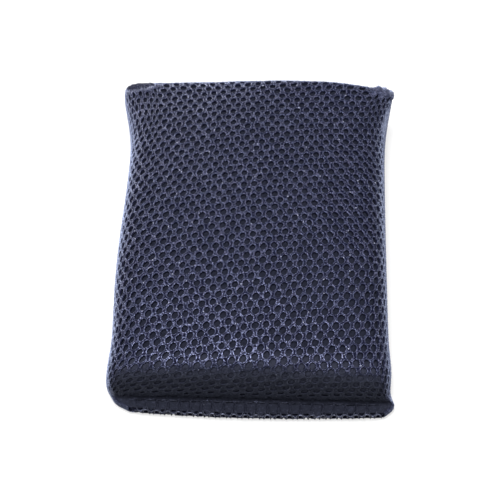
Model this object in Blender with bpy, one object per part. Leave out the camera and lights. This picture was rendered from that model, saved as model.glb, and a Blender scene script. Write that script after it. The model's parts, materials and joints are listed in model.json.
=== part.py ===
"""Insect removal sponge: a soft foam block sewn into a bag of knitted mesh.

Metres, +Z up. The sponge lies flat, X across and Y along it. The front, with the closing seam,
faces -Y. The origin is under the middle of the block, on the surface that it rests on.

The bag is one tube of fabric. It is lofted through section loops: from the open edge of the
closing seam, round the block, to the raw edge of the rear seam that is turned inside. The loops
are the cage of a subdivision surface, which is the outer face of the fabric, and the sheet gets
its thickness inwards from it. The foam block is lofted through the same kind of loop.
"""
import math

import bmesh
import bpy
from mathutils import Vector

MM = 0.001

# Outer size of the filled bag
BODY_LENGTH = 123.0 * MM
BODY_WIDTH = 90.0 * MM
BODY_HEIGHT = 31.0 * MM

# Crowned top: how far it lies below its crest at both ends and at both sides
CREST_SHARE = 0.62
FRONT_FALL = 8.5 * MM
FRONT_FALL_POWER = 2.3
REAR_FALL = 2.0 * MM
REAR_FALL_POWER = 3.0
SIDE_FALL = 3.8 * MM

# Roundings and the slight shape of the sides. The right side is drawn in a little halfway. The
# left one sways: it swells in its front half and is drawn in before the rear seam.
SHOULDER_ROUND = 9.0 * MM
BASE_ROUND = 7.0 * MM
REAR_EDGE_ROUND = 6.0 * MM
SIDE_BULGE = 0.8 * MM
RIGHT_WAIST = 0.4 * MM
LEFT_SWAY = 0.8 * MM
FRONT_FLARE = 0.9 * MM
FRONT_LEFT_FLARE = 1.3 * MM
FRONT_BELLY = 0.8 * MM

# Fabric
FABRIC_WALL = 1.4 * MM
PLY_GAP = 0.4 * MM

# Seam threads
THREAD_RADIUS = 0.35 * MM
THREAD_GAP = 0.45 * MM
THREAD_END_MARGIN = 2.2 * MM
NEEDLE_STAND_OFF = 1.8 * MM
CLOSING_STITCH = 3.55 * MM
REAR_STITCH = 6.0 * MM
STITCH_LEAN = 0.25

# Closing seam: two plies that stand out as a lip at the foot of the front wall. The left corner
# is drawn in further than the right one, where the end of the seam stands out as a knob. The
# lip's edge is bowed, and is furthest out in its middle.
LIP_LENGTH = 4.2 * MM
LIP_LEFT_INSET = 7.6 * MM
LIP_RIGHT_INSET = 1.4 * MM
LIP_ROOT_INSET = 0.4 * MM
LIP_KNOB = 1.8 * MM
LIP_BOW = 1.5 * MM
LIP_FLOOR_GAP = 0.05 * MM

# Rear seam: sewn inside out, so its two plies are turned into the bag, and the corners where it
# ends are pinched into small ears
REAR_SEAM_FALL = 12.0 * MM
REAR_ALLOWANCE = 5.0 * MM
REAR_SEAM_INSET = 4.5 * MM
REAR_SEAM_TURN = 1.0 * MM
EAR_REACH = 4.6 * MM
EAR_LIFT = 0.8 * MM
EAR_SHARES = (0.45, 1.0, 0.9, 0.6)

# The rear edge waves a little: it dips on the left and rises on the right
REAR_WAVE = 1.3 * MM
REAR_WAVE_RUN = 18.0 * MM

# Foam block
FOAM_GAP = 0.5 * MM
FOAM_SIDE_GAP = 0.2 * MM
FOAM_END_ROUND = 6.0 * MM
FOAM_END_SHRINK = 0.9 * MM
GROOVE_GAP = 0.7 * MM
GROOVE_ROUND_SHARE = 0.6

# Spacing of the loft's section loops near the ends of the body
SPAN_LOOPS = 7
FRONT_SHOULDER_RUN = 9.0 * MM
REAR_SHOULDER_RUN = 6.0 * MM
BASE_RUN = 27.0 * MM

FRONT = -BODY_LENGTH / 2
REAR = BODY_LENGTH / 2
CREST_Y = FRONT + BODY_LENGTH * CREST_SHARE
HALF_WIDTH = BODY_WIDTH / 2
FRONT_EDGE_HEIGHT = BODY_HEIGHT - FRONT_FALL
REAR_EDGE_HEIGHT = BODY_HEIGHT - REAR_FALL
SEAM_HALF = PLY_GAP / 2 + FABRIC_WALL
THREAD_ROOM = THREAD_GAP + 2 * THREAD_RADIUS
LIP_BOTTOM = LIP_FLOOR_GAP + THREAD_ROOM
LIP_TOP = LIP_BOTTOM + 2 * SEAM_HALF
REAR_SEAM_HEIGHT = BODY_HEIGHT - REAR_SEAM_FALL


def clear_scene():
    """Empty the scene, so that only the sponge is in it."""
    for obj in list(bpy.data.objects):
        bpy.data.objects.remove(obj, do_unlink=True)


def make_material(name, colour, roughness, sheen=0.0):
    """A Principled material with a plain colour."""
    material = bpy.data.materials.new(name)
    material.use_nodes = True
    shader = material.node_tree.nodes["Principled BSDF"]
    shader.inputs["Base Color"].default_value = (*colour, 1.0)
    shader.inputs["Roughness"].default_value = roughness
    shader.inputs["Metallic"].default_value = 0.0
    shader.inputs["Sheen Weight"].default_value = sheen
    return material


def top_height(y):
    """Height of the top along its middle line: highest at the crest, falling to both ends."""
    if y < CREST_Y:
        share = (CREST_Y - y) / (CREST_Y - FRONT)
        return BODY_HEIGHT - FRONT_FALL * share ** FRONT_FALL_POWER
    share = (y - CREST_Y) / (REAR - CREST_Y)
    return BODY_HEIGHT - REAR_FALL * share ** REAR_FALL_POWER


def side_widths(share):
    """Half widths to the left and to the right, at a share of the way from front to rear."""
    return (HALF_WIDTH + LEFT_SWAY * math.sin(2 * math.pi * share),
            HALF_WIDTH - RIGHT_WAIST * math.sin(math.pi * share))


def half_loop(top, bottom, half_width, top_round, base_round, bulge, fall, bow):
    """Cage points of one side of a section loop, from the middle of the underside to the top's.

    The points of the side lie between the lower and the upper middle point, at the given shares
    of the way up. The shoulders drop by fall, and the ends of the loop move back by bow.
    """
    base_flat = half_width - base_round
    top_flat = half_width - top_round
    outline = [
        # distance from the middle line, share of the way up
        (0.0, 0.0),
        (base_flat / 3, 0.0),
        (base_flat * 2 / 3, 0.0),
        (base_flat, 0.0),
        (half_width - base_round * 0.28, 0.0),
        (half_width, 0.17),
        (half_width + bulge, 0.46),
        (half_width, 0.75),
        (half_width - top_round * 0.3, 0.95),
        (top_flat, 1.0),
        (top_flat * 2 / 3, 1.0),
        (top_flat / 3, 1.0),
        (0.0, 1.0),
    ]
    points = []
    for x, level in outline:
        outward = (x / half_width) ** 2
        y = bottom[0] + (top[0] - bottom[0]) * level + bow * outward
        z = bottom[1] + (top[1] - bottom[1]) * level - fall * outward * max(0.0, 2 * level - 1)
        points.append((x, y, z))
    return points


def section_loop(top, bottom, widths, top_round, base_round, bulge=0.0, fall=0.0, bow=0.0):
    """Cage points of one closed loop round the block, starting in the middle of its underside.

    top and bottom are the (y, z) of the loop's upper and lower middle points, and widths are its
    half widths to the left and to the right.
    """
    left, right = [half_loop(top, bottom, width, top_round, base_round, bulge, fall, bow)
                   for width in widths]
    mirrored = [(-x, y, z) for x, y, z in reversed(left[1:-1])]
    return [Vector(point) for point in right + mirrored]


def pull_ears(loop, share):
    """Pull a rear loop out and up at both upper corners, where the seam pinches the bag."""
    for index, weight in ((6, 0.55), (7, 1.0), (8, 0.85)):
        for place, side in ((index, 1), (-index, -1)):
            loop[place].x += side * EAR_REACH * weight * share
            loop[place].z += EAR_LIFT * weight * share
    return loop


def wave_rear_edge(loops):
    """Raise the upper rear edge on the right and lower it on the left, fading to the front."""
    for point in [point for loop in loops for point in loop]:
        nearness = min(1.0, max(0.0, 1 - (REAR - point.y) / REAR_WAVE_RUN))
        level = (point.z - REAR_SEAM_HEIGHT) / (REAR_EDGE_HEIGHT - REAR_SEAM_HEIGHT)
        sideways = math.sin(math.pi * point.x / HALF_WIDTH)
        point.z += REAR_WAVE * nearness ** 2 * min(1.0, max(0.0, level)) * sideways
    return loops


def lip_loops():
    """Loops of the closing seam's two plies, from their open edge to the foot of the front wall."""
    loops = []
    root_widths = HALF_WIDTH - LIP_ROOT_INSET, HALF_WIDTH - LIP_ROOT_INSET + LIP_KNOB
    edge_widths = HALF_WIDTH - LIP_LEFT_INSET, HALF_WIDTH - LIP_RIGHT_INSET
    for share, widening in ((0.0, 0.0), (0.45, 0.5), (0.85, 0.85)):
        y = FRONT - LIP_LENGTH * (1 - share)
        widths = [edge + (root - edge) * widening
                  for edge, root in zip(edge_widths, root_widths)]
        loops.append(section_loop((y, LIP_TOP), (y, LIP_BOTTOM), widths, SEAM_HALF, SEAM_HALF,
                                  bow=LIP_BOW * (1 - share)))
    root_round = SEAM_HALF * 1.4
    loops.append(section_loop((FRONT + 0.5 * MM, LIP_TOP + 0.3 * MM),
                              (FRONT + 1.6 * MM, LIP_BOTTOM / 2), root_widths,
                              root_round, root_round))
    return loops


def front_wall_loops():
    """Loops up the front wall. On the underside they run on under the body."""
    loops = []
    stations = (
        # top y, share of the edge's height, bottom y, share of the flare, shoulder round
        (-FRONT_BELLY, 0.40, 8.0 * MM, 0.5, 4.0 * MM),
        (-FRONT_BELLY, 0.76, 14.0 * MM, 1.0, 6.0 * MM),
        (1.6 * MM, 1.0, 20.0 * MM, 1.0, SHOULDER_ROUND * 0.8),
    )
    for top_y, share, bottom_y, flare, shoulder in stations:
        right = HALF_WIDTH + FRONT_FLARE * flare
        left = right + FRONT_LEFT_FLARE * (1 - share ** 2)
        loops.append(section_loop((FRONT + top_y, FRONT_EDGE_HEIGHT * share),
                                  (FRONT + bottom_y, 0.0), (left, right), shoulder,
                                  BASE_ROUND, SIDE_BULGE, SIDE_FALL * share ** 2))
    return loops


def span_loops():
    """Loops over the crowned top and along the flat underside."""
    loops = []
    first, last = FRONT + FRONT_SHOULDER_RUN, REAR - REAR_SHOULDER_RUN
    base_first = FRONT + BASE_RUN
    for step in range(SPAN_LOOPS + 1):
        share = step / SPAN_LOOPS
        top_y = first + (last - first) * share
        bottom_y = base_first + (last - base_first) * share
        loops.append(section_loop((top_y, top_height(top_y)), (bottom_y, 0.0), side_widths(share),
                                  SHOULDER_ROUND, BASE_ROUND, SIDE_BULGE, SIDE_FALL))
    return loops


def rear_wall_loops():
    """Loops down and up the rear wall, which meet at the seam."""
    turn = PLY_GAP / 2 + REAR_SEAM_TURN
    middle = (REAR_EDGE_HEIGHT + REAR_SEAM_HEIGHT) / 2
    stations = (
        # top y, top z, bottom y, bottom z, inset of the sides, corner round, share of the fall
        (-0.6 * MM, REAR_EDGE_HEIGHT, 0.2 * MM, 0.6 * MM, 0.0, REAR_EDGE_ROUND, 0.8),
        (0.8 * MM, middle, 0.8 * MM, REAR_SEAM_HEIGHT * 0.45, 0.3 * MM, 4.0 * MM, 0.4),
        (0.6 * MM, REAR_SEAM_HEIGHT + turn, 0.6 * MM, REAR_SEAM_HEIGHT - turn, 1.2 * MM, 2.0 * MM,
         0.0),
    )
    return [section_loop((REAR + top_y, top_z), (REAR + bottom_y, bottom_z),
                         (HALF_WIDTH - inset, HALF_WIDTH - inset), corner, corner,
                         fall=SIDE_FALL * fall)
            for top_y, top_z, bottom_y, bottom_z, inset, corner, fall in stations]


def rear_allowance_loops():
    """Loops of the two plies that the rear seam turns into the bag, out to their raw edge."""
    loops = []
    half_width = HALF_WIDTH - REAR_SEAM_INSET
    for share in (0.35, 0.7, 1.0):
        y = REAR - REAR_ALLOWANCE * share
        loops.append(section_loop((y, REAR_SEAM_HEIGHT + PLY_GAP / 2),
                                  (y, REAR_SEAM_HEIGHT - PLY_GAP / 2),
                                  (half_width, half_width), REAR_SEAM_TURN, REAR_SEAM_TURN))
    return loops


def cover_loops():
    """All loops of the bag, from the open edge of the lip to the raw edge inside."""
    span, rear = span_loops(), rear_wall_loops()
    for loop, share in zip([span[-1]] + rear, EAR_SHARES):
        pull_ears(loop, share)
    body = wave_rear_edge(front_wall_loops() + span + rear)
    return lip_loops() + body + rear_allowance_loops()


def foam_loops():
    """Loops of the foam block, which lies inside the bag with a small gap all round."""
    inset = FABRIC_WALL + FOAM_GAP
    front, rear = FRONT + inset, REAR - inset

    def slice_at(y, share, shrink):
        """One loop across the block, drawn in by shrink on all four sides."""
        top = top_height(y) - inset - shrink
        widths = [width - inset - FOAM_SIDE_GAP - shrink for width in side_widths(share)]
        return section_loop((y, top), (y, inset + shrink), widths, SHOULDER_ROUND, BASE_ROUND,
                            fall=SIDE_FALL)

    loops = [slice_at(front, 0.0, FOAM_END_ROUND), slice_at(front, 0.0, FOAM_END_SHRINK)]
    first, last = front + FOAM_END_ROUND, rear - FOAM_END_ROUND
    for step in range(SPAN_LOOPS + 1):
        share = step / SPAN_LOOPS
        loops.append(slice_at(first + (last - first) * share, share, 0.0))
    loops += [slice_at(rear, 1.0, FOAM_END_SHRINK), slice_at(rear, 1.0, FOAM_END_ROUND)]
    return wave_rear_edge(loops)


def loft(name, loops, material, capped):
    """One rounded mesh object whose faces join each loop to the next, facing out."""
    bm = bmesh.new()
    rings = [[bm.verts.new(point) for point in loop] for loop in loops]
    count = len(rings[0])
    for near, far in zip(rings, rings[1:]):
        for i in range(count):
            after = (i + 1) % count
            bm.faces.new((near[i], far[i], far[after], near[after]))
    if capped:
        bm.faces.new(rings[0])
        bm.faces.new(list(reversed(rings[-1])))
    for face in bm.faces:
        face.smooth = True
    obj = link_mesh(name, bm)
    obj.data.materials.append(material)
    subdivide = obj.modifiers.new("round", "SUBSURF")
    subdivide.levels = 1
    subdivide.render_levels = 1
    return obj


def link_mesh(name, bm):
    """Turn a bmesh into an object of the scene."""
    mesh = bpy.data.meshes.new(name)
    bm.to_mesh(mesh)
    bm.free()
    obj = bpy.data.objects.new(name, mesh)
    bpy.context.collection.objects.link(obj)
    return obj


def make_cover():
    """The bag: the lofted outer face, made a sheet of the fabric's thickness."""
    fabric = make_material("navy mesh fabric", (0.055, 0.062, 0.12), 0.85, 0.4)
    cover = loft("mesh_cover", cover_loops(), fabric, capped=False)
    wall = cover.modifiers.new("wall", "SOLIDIFY")
    wall.thickness = FABRIC_WALL
    wall.offset = -1.0
    wall.use_even_offset = True


def seam_groove():
    """A cutter for the slot that the turned-in rear seam presses into the end of the foam."""
    room = SEAM_HALF + THREAD_ROOM + GROOVE_GAP
    depth = REAR_ALLOWANCE + THREAD_ROOM + GROOVE_GAP
    overrun = 4.0 * MM
    bm = bmesh.new()
    bmesh.ops.create_cube(bm, size=1.0)
    size = (BODY_WIDTH + 2 * overrun, depth + overrun, 2 * room)
    bmesh.ops.scale(bm, vec=size, verts=bm.verts)
    inner = [edge for edge in bm.edges
             if all(vert.co.y < 0 for vert in edge.verts)
             and abs(edge.verts[0].co.x - edge.verts[1].co.x) > BODY_WIDTH]
    bmesh.ops.bevel(bm, geom=inner, offset=room * GROOVE_ROUND_SHARE, segments=3, profile=0.5,
                    affect="EDGES")
    cutter = link_mesh("seam_groove", bm)
    cutter.location = (0.0, REAR - depth + size[1] / 2, REAR_SEAM_HEIGHT)
    cutter.hide_render = True
    cutter.display_type = "WIRE"
    return cutter


def make_foam():
    """The foam block with the slot of the rear seam."""
    colour = make_material("dark foam", (0.02, 0.022, 0.03), 0.95)
    foam = loft("foam_core", foam_loops(), colour, capped=True)
    cut = foam.modifiers.new("groove", "BOOLEAN")
    cut.operation = "DIFFERENCE"
    cut.solver = "EXACT"
    cut.object = seam_groove()


def overedge_path(widths, height, needle_y, edge_y, stitch, bow=0.0):
    """Points of a thread that laps over the raw edge of a two-ply seam and back again.

    The thread runs out over the upper ply, round the edge and in along the lower ply, takes a
    short step sideways, and comes back the same way. It follows the bow of the edge.
    """
    away = math.copysign(1.0, edge_y - needle_y)
    stand_off = SEAM_HALF + THREAD_GAP + THREAD_RADIUS
    tip_y = edge_y + away * (THREAD_GAP + THREAD_RADIUS)
    start, end = THREAD_END_MARGIN - widths[0], widths[1] - THREAD_END_MARGIN
    laps = 2 * max(2, round((end - start) / stitch))
    pitch = (end - start) / laps
    over = [
        # share of the way from the needle line to the edge, height share, sideways share
        (0.0, 1.0, -1.0),
        (0.85, 1.0, -0.2),
        (1.0, 0.5, 0.0),
        (1.0, -0.5, 0.0),
        (0.85, -1.0, 0.2),
        (0.0, -1.0, 1.0),
    ]
    points = []
    for lap in range(laps):
        x = start + pitch * (lap + 0.5)
        back = bow * (x / widths[x > 0]) ** 2
        for across, level, aside in over if lap % 2 == 0 else over[::-1]:
            lean = STITCH_LEAN * pitch * (aside if lap % 2 == 0 else -aside)
            y = needle_y + (tip_y + back - needle_y) * across
            points.append((x + lean, y, height + stand_off * level))
    return points


def seam_thread(name, points, material):
    """A round thread along the points, closed at both ends."""
    curve = bpy.data.curves.new(name, "CURVE")
    curve.dimensions = "3D"
    curve.bevel_depth = THREAD_RADIUS
    curve.bevel_resolution = 1
    curve.use_fill_caps = True
    spline = curve.splines.new("POLY")
    spline.points.add(len(points) - 1)
    for point, place in zip(spline.points, points):
        point.co = (*place, 1.0)
    curve.materials.append(material)
    bpy.context.collection.objects.link(bpy.data.objects.new(name, curve))


def make_threads():
    """The yarns that lap over the edges of both seams."""
    yarn = make_material("navy seam thread", (0.12, 0.13, 0.2), 0.6, 0.2)
    closing = overedge_path((HALF_WIDTH - LIP_LEFT_INSET, HALF_WIDTH - LIP_RIGHT_INSET),
                            LIP_BOTTOM + SEAM_HALF, FRONT - NEEDLE_STAND_OFF, FRONT - LIP_LENGTH,
                            CLOSING_STITCH, LIP_BOW)
    seam_thread("closing_thread", closing, yarn)
    rear_half = HALF_WIDTH - REAR_SEAM_INSET
    rear = overedge_path((rear_half, rear_half), REAR_SEAM_HEIGHT,
                         REAR - FABRIC_WALL - NEEDLE_STAND_OFF, REAR - REAR_ALLOWANCE, REAR_STITCH)
    seam_thread("rear_seam_thread", rear, yarn)


clear_scene()
make_cover()
make_foam()
make_threads()
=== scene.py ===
import json
import math

import bpy
import numpy as np
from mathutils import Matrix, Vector

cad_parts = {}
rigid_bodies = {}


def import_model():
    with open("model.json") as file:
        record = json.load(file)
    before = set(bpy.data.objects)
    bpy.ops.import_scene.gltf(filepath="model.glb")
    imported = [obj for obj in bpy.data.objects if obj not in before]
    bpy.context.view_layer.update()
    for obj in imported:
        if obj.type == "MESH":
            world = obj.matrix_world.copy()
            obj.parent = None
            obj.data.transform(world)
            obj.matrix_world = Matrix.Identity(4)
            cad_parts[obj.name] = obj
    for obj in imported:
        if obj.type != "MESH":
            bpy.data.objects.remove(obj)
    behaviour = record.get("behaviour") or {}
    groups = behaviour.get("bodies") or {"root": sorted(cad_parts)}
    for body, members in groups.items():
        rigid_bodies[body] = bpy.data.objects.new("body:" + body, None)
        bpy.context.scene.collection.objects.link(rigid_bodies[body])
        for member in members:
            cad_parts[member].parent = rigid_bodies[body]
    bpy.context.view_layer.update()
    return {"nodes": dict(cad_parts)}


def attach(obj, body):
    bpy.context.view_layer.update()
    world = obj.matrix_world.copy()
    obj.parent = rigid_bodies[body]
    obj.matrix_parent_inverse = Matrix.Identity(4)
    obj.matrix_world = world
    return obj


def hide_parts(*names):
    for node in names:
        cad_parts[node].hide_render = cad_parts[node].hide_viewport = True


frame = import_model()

# The bag's fabric is knitted here hole by hole on the lofted surface of the CAD cover.
# Sizes are in millimetres up to the last step, which puts points into metres.
MM = 0.001
SEED = 5

# ---- the CAD model's sizes, as the part's source has them. Only the lip is a little longer and
# wider here, the ears are rounder, and the rear edge rises more on the right before its ear.
BODY_LENGTH, BODY_WIDTH, BODY_HEIGHT = 123.0, 90.0, 31.0
CREST_SHARE = 0.62
FRONT_FALL, FRONT_FALL_POWER = 8.5, 2.3
REAR_FALL, REAR_FALL_POWER = 2.0, 3.0
SIDE_FALL = 3.8
SHOULDER_ROUND, BASE_ROUND, REAR_EDGE_ROUND = 9.0, 7.0, 6.0
SIDE_BULGE, RIGHT_WAIST, LEFT_SWAY = 0.8, 0.4, 0.8
FRONT_FLARE, FRONT_LEFT_FLARE, FRONT_BELLY = 0.9, 1.3, 0.8
FABRIC_WALL, PLY_GAP = 1.4, 0.4
LIP_LENGTH, LIP_LEFT_INSET, LIP_RIGHT_INSET = 4.8, 5.8, 0.6
LIP_KNOB, LIP_BOW, LIP_BOTTOM = 2.9, 1.5, 1.2
REAR_SEAM_FALL, REAR_ALLOWANCE, REAR_SEAM_INSET, REAR_SEAM_TURN = 12.0, 5.0, 4.5, 1.0
SPAN_LOOPS, FRONT_SHOULDER_RUN, REAR_SHOULDER_RUN, BASE_RUN = 7, 9.0, 6.0, 27.0
# how far an ear reaches out, its share of that in the last five loops on the left (-1) and the
# right (1), how far it is lifted, and the points of a loop it moves with their shares
EAR_REACH = 4.6
EAR_SHARES = {-1: (0.0, 0.85, 0.95, 0.6, 0.35), 1: (0.0, 0.6, 0.95, 0.85, 0.55)}
EAR_LIFT = {-1: 0.8, 1: 0.0}
EAR_POINTS = ((6, 0.55), (7, 1.0), (8, 0.85))
# the rear edge waves: how high and over what length, how much higher and further out the wave is
# on the right, and the dip towards the right ear with its start and run
REAR_WAVE, REAR_WAVE_RUN = 1.3, 18.0
RIGHT_WAVE_SHARE, RIGHT_WAVE_POWER = 1.4, 1.5
EAR_DIP, EAR_DIP_START, EAR_DIP_RUN = 1.2, 0.75, 0.2

FRONT, REAR = -BODY_LENGTH / 2, BODY_LENGTH / 2
CREST_Y = FRONT + BODY_LENGTH * CREST_SHARE
HALF_WIDTH = BODY_WIDTH / 2
FRONT_EDGE_HEIGHT, REAR_EDGE_HEIGHT = BODY_HEIGHT - FRONT_FALL, BODY_HEIGHT - REAR_FALL
SEAM_HALF = PLY_GAP / 2 + FABRIC_WALL
LIP_TOP = LIP_BOTTOM + 2 * SEAM_HALF
REAR_SEAM_HEIGHT = BODY_HEIGHT - REAR_SEAM_FALL

# ---- the knit
COLUMNS = 65  # holes once round the bag
ROW_PITCH = 2.7
ROWS_PER_TURN = 14  # the rows climb by this many in one turn, so they slant
RING = 16  # points round a hole
CORNER_JITTER, MIDDLE_JITTER, HOLE_JITTER = 0.08, 0.06, 0.07
STRETCH = 0.22  # how far the fabric is unevenly stretched
STRETCH_WAVES = 7, 60, 18  # their number, the longest and the shortest
HOLE_HALF = (1.07, 1.36)  # across and along
HOLE_POINT = 1.8  # 2 is an ellipse, less is more pointed
HOLE_LEAN = (0.02, 0.14)  # the least and the most
FRONT_RIGHT_LEAN, LEFT_LEAN, RIGHT_LEAN = 0.18, 0.14, -0.35  # more lean there
FRONT_RIGHT_LONGER = 0.2  # the share by which the holes are longer there
BEAD, BEAD_SHARE, LEAST_WEB = 0.42, 0.72, 0.25  # the raised yarn round a hole
WALL_SLOPE = 0.4  # how far a wide hole narrows to the inside
OPEN_FROM = 0.3  # a hole that is less open than this is shut
HOLE_STATIONS = (3.3, 16.9)  # the holes end there, at the lip and at the rear seam
FRONT_OPENS, REAR_OPENS = (-0.5, 3.5), (0.0, 2.5)  # from closed to open, from these ends
WIDTH_OPENS = (0.12, 0.35)  # the same by the fabric's width, as a share of its full one
GAP_CHANCE = (0.75, 0.4)  # where three cells meet, and where two do
GAP_DEPTH, BRIDGE_DEPTH, WEB_JITTER = 0.62, 0.18, 0.06
BRIDGE_TONE = (0.35, 0.7)
LOOP_HEIGHT = 0.05  # of the single loops of yarn on a bead
BUMP_SHARE = 0.55  # the size of the bump on a shut cell
YARN_FLATNESS = 3.0  # weight of the bag's own normals against those of the beads
BAKE_MARGIN = 0.002  # left free round the bake's map
FABRIC_THICK = 1.05
LIP_THICKER = 0.45  # at the lip, so that its two plies meet
FRONT_THINNER = 0.4  # where the front wall stretches it
# left and right: where round the bag the crowding starts and ends, its strength, where along it
# begins and is full, and how far the rows are drawn to the rear
EAR_GATHERS = {-1: (35.0, 66.0, 0.44, 16.0, 44.0, 5.0),
               1: (38.0, 62.0, 0.45, 22.0, 48.0, 4.0)}

# ---- the foam and the closing thread
FOAM_START = 3.45  # its first station
FOAM_CLEARANCE, FOAM_VOXEL, FOAM_GRAIN = 0.1, 1.1, 0.05
FOAM_SEAM, FOAM_SEAM_ROOM = (17.0, 18.2), 1.6  # the stations where it makes room for the seam
FOAM_TAIL = 1.4  # how far it goes past the last station
LIP_ROOT = 3.4  # the station of the lip's root
THREAD_END_MARGIN, CLOSING_STITCH = 2.2, 3.55
LOOPER_RADIUS, NEEDLE_RADIUS = 0.19, 0.15
# of each looper thread: its side of the lip, how far from the edge it meets the needle thread, the
# level of its arch, and how far it is shifted, in stitches
LOOPERS = ((1, 2.05, 0.1, 0.0), (-1, 1.7, 0.85, 0.5))
ARCH_OUT = 0.39  # how far the arch stands out from the edge
# the seam threads' tones are painted highlights, lightest where a looper thread arches over the
# lip's edge
LOOPER_TONE, NEEDLE_TONE = (0.25, 0.85), (0.1, 0.7)  # the least and the most of each tone
NEEDLE_LINE = 2.1  # its distance from the edge
# of its stitch: share of the pitch, height above the ply, and tone, a painted highlight that is
# strongest where the stitch stands up
NEEDLE_STITCH = ((-0.1, -0.12, 0.05), (0.12, 0.2, 0.2), (0.5, 0.26, 0.3), (0.85, 0.2, 0.15))

# ---- stage: name, place, size and power of each lamp
LAMPS = (("key", (-0.12, -0.1, 1.32), 0.35, 11.0),
         ("front_top", (-0.1, -0.42, 1.24), 0.4, 11.0),
         ("rear", (-0.42, 1.1, 0.3), 0.5, 10.0),
         ("rear_left", (-0.95, 0.85, 0.2), 0.5, 5.5),
         ("left", (-1.15, 0.2, 0.4), 0.7, 6.0),
         ("right", (1.05, 0.25, 0.6), 0.7, 4.5))
WORLD_LIGHT = 0.18
FLOOR_SIZE, FLOOR_BEND, BACK_HEIGHT = 3.0, 0.4, 1.6
FLOOR_GREY, FLOOR_GLOW = 0.34, 0.64  # as seen
FLOOR_GREY_GIVEN = 0.3  # as it gives light back


# ---- small sums

def clamp(value):
    return min(1.0, max(0.0, value))


def smooth(low, high, value):
    t = np.clip((value - low) / (high - low), 0, 1)
    return t * t * (3 - 2 * t)


def window(value, low, high, soft):
    return smooth(low - soft, low + soft, value) * (1 - smooth(high - soft, high + soft, value))


def lerp(a, b, t):
    return a * (1 - t) + b * t


def unit(vectors):
    return vectors / np.maximum(np.linalg.norm(vectors, axis=1), 1e-9)[:, None]


def path_length(points):
    """The distance along a path up to each of its points."""
    return np.concatenate([[0], np.cumsum(np.linalg.norm(np.diff(points, axis=0), axis=1))])


def pairs(rows, columns):
    """Every row with every column, as two lists."""
    return [grid.ravel() for grid in np.meshgrid(rows, columns, indexing="ij")]


def extended(rows):
    """Rows with one more at either end, in line with the two before it."""
    return np.concatenate([2 * rows[:1] - rows[1:2], rows, 2 * rows[-1:] - rows[-2:-1]])


def onward(ring):
    """The next point of each one of a ring, or of each of many rings."""
    return np.roll(ring, -1, min(1, ring.ndim - 1))


def strip_between(near, far):
    """The quads between two rings, or between many pairs of them."""
    return np.stack([near, onward(near), onward(far), far], -1).reshape(-1, 4)


# ---- the bag's surface

def top_height(y):
    if y < CREST_Y:
        share = (CREST_Y - y) / (CREST_Y - FRONT)
        return BODY_HEIGHT - FRONT_FALL * share ** FRONT_FALL_POWER
    share = (y - CREST_Y) / (REAR - CREST_Y)
    return BODY_HEIGHT - REAR_FALL * share ** REAR_FALL_POWER


def side_widths(share):
    return (HALF_WIDTH + LEFT_SWAY * math.sin(2 * math.pi * share),
            HALF_WIDTH - RIGHT_WAIST * math.sin(math.pi * share))


def half_loop(top, bottom, half_width, top_round, base_round, bulge, fall, bow):
    """The right half of a section, from the middle of its base, at (y, z) bottom, to the middle
    of its top. Off the middle the top falls and the whole section bows to the rear."""
    base_flat, top_flat = half_width - base_round, half_width - top_round
    outline = [(0.0, 0.0), (base_flat / 3, 0.0), (base_flat * 2 / 3, 0.0), (base_flat, 0.0),
               (half_width - base_round * 0.28, 0.0), (half_width, 0.17),
               (half_width + bulge, 0.46), (half_width, 0.75),
               (half_width - top_round * 0.3, 0.95), (top_flat, 1.0), (top_flat * 2 / 3, 1.0),
               (top_flat / 3, 1.0), (0.0, 1.0)]
    points = []
    for x, level in outline:
        outward = (x / half_width) ** 2
        points.append((x, bottom[0] + (top[0] - bottom[0]) * level + bow * outward,
                       bottom[1] + (top[1] - bottom[1]) * level
                       - fall * outward * max(0.0, 2 * level - 1)))
    return points


def section_loop(top, bottom, widths, top_round, base_round, bulge=0.0, fall=0.0, bow=0.0):
    """A closed section: up on the right and down on the left."""
    left, right = [half_loop(top, bottom, width, top_round, base_round, bulge, fall, bow)
                   for width in widths]
    return [list(point) for point in right + [(-x, y, z) for x, y, z in reversed(left[1:-1])]]


def rear_wave(across):
    """How far the rear edge is lifted: across is -1 at its left end and 1 at its right one."""
    if across < 0:
        return REAR_WAVE * math.sin(math.pi * across)
    return (REAR_WAVE * RIGHT_WAVE_SHARE * math.sin(math.pi * across ** RIGHT_WAVE_POWER)
            - EAR_DIP * clamp((across - EAR_DIP_START) / EAR_DIP_RUN))


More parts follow.
